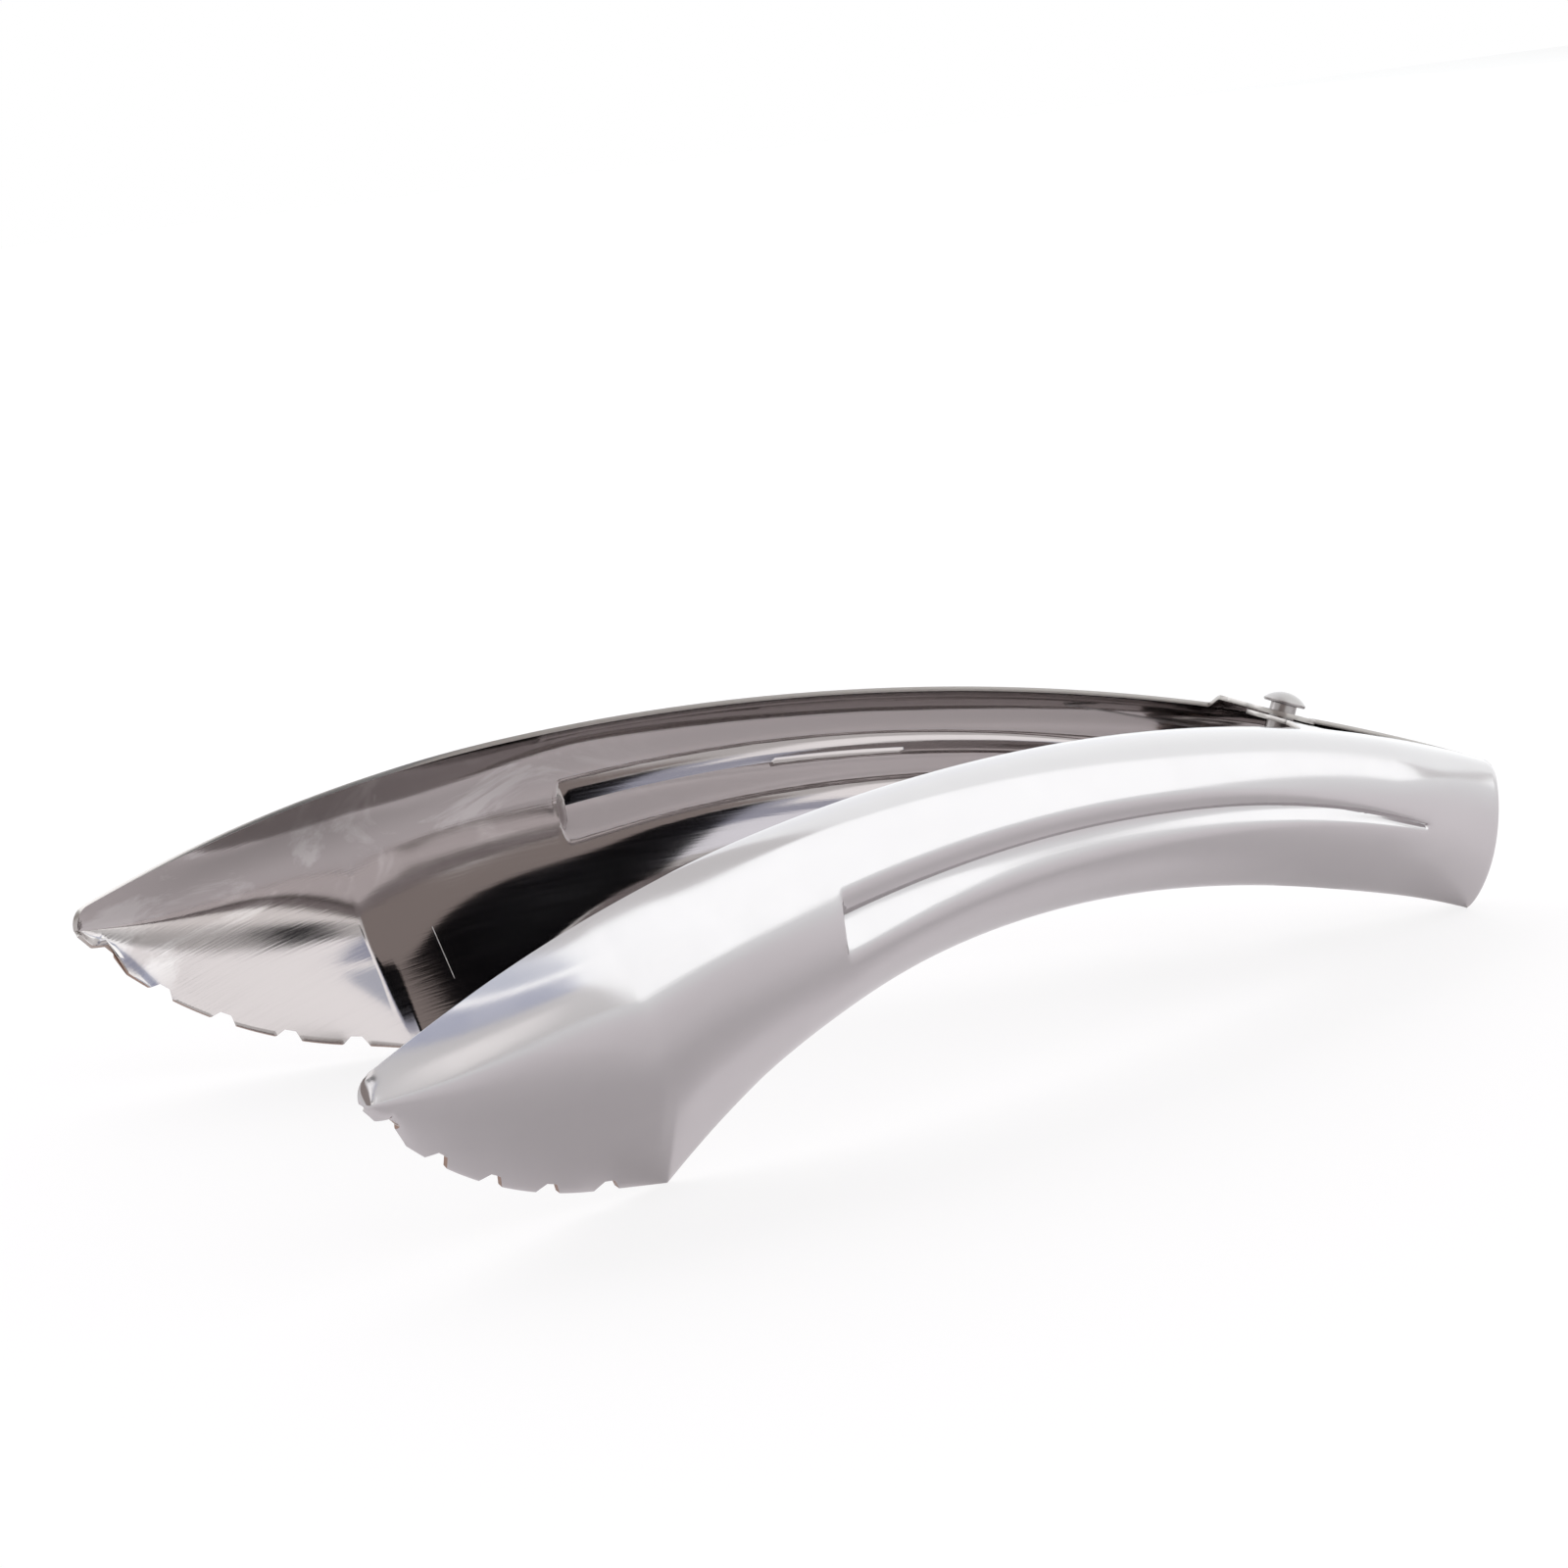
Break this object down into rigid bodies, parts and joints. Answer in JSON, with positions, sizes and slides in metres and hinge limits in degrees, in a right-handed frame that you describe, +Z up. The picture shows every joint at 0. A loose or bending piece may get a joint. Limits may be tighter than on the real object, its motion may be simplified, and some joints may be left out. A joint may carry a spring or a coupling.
{
  "type": "serving tongs",
  "caption": "Curved pressed-steel serving tongs: two scoop-jawed arms with toothed edges on one rivet, held open by a torsion spring.",
  "frame": {"origin": "centre of the bounding box's underside, on the surface the tongs stand on", "axes": "+X along the tongs towards the hinge end, +Y towards the left arm, +Z up; the tongs stand at rest on their jaw teeth and rear lower corners"},
  "size_m": [0.2406, 0.1334, 0.0531],
  "materials": {
    "pressed_steel": "polished stainless sheet, finely brushed on the jaws' toothed faces",
    "rivet_steel": "polished stainless rivet",
    "spring_wire": "drawn spring wire"
  },
  "bodies": {
    "left_arm": {"arm_left": "pressed_steel", "hinge_rivet": "rivet_steel", "torsion_spring": "spring_wire"},
    "right_arm": {"arm_right": "pressed_steel"}
  },
  "joints": [
    {"name": "arms_hinge", "type": "hinge", "parent": "left_arm", "child": "right_arm", "pos_m": [0.0744, 0, 0.02805], "axis": [-0.3713, 0, -0.9285], "range_deg": [0, 39], "stiffness_Nm_per_rad": 0.25, "springref_deg": -28.65, "deforming": ["torsion_spring"]}
  ]
}
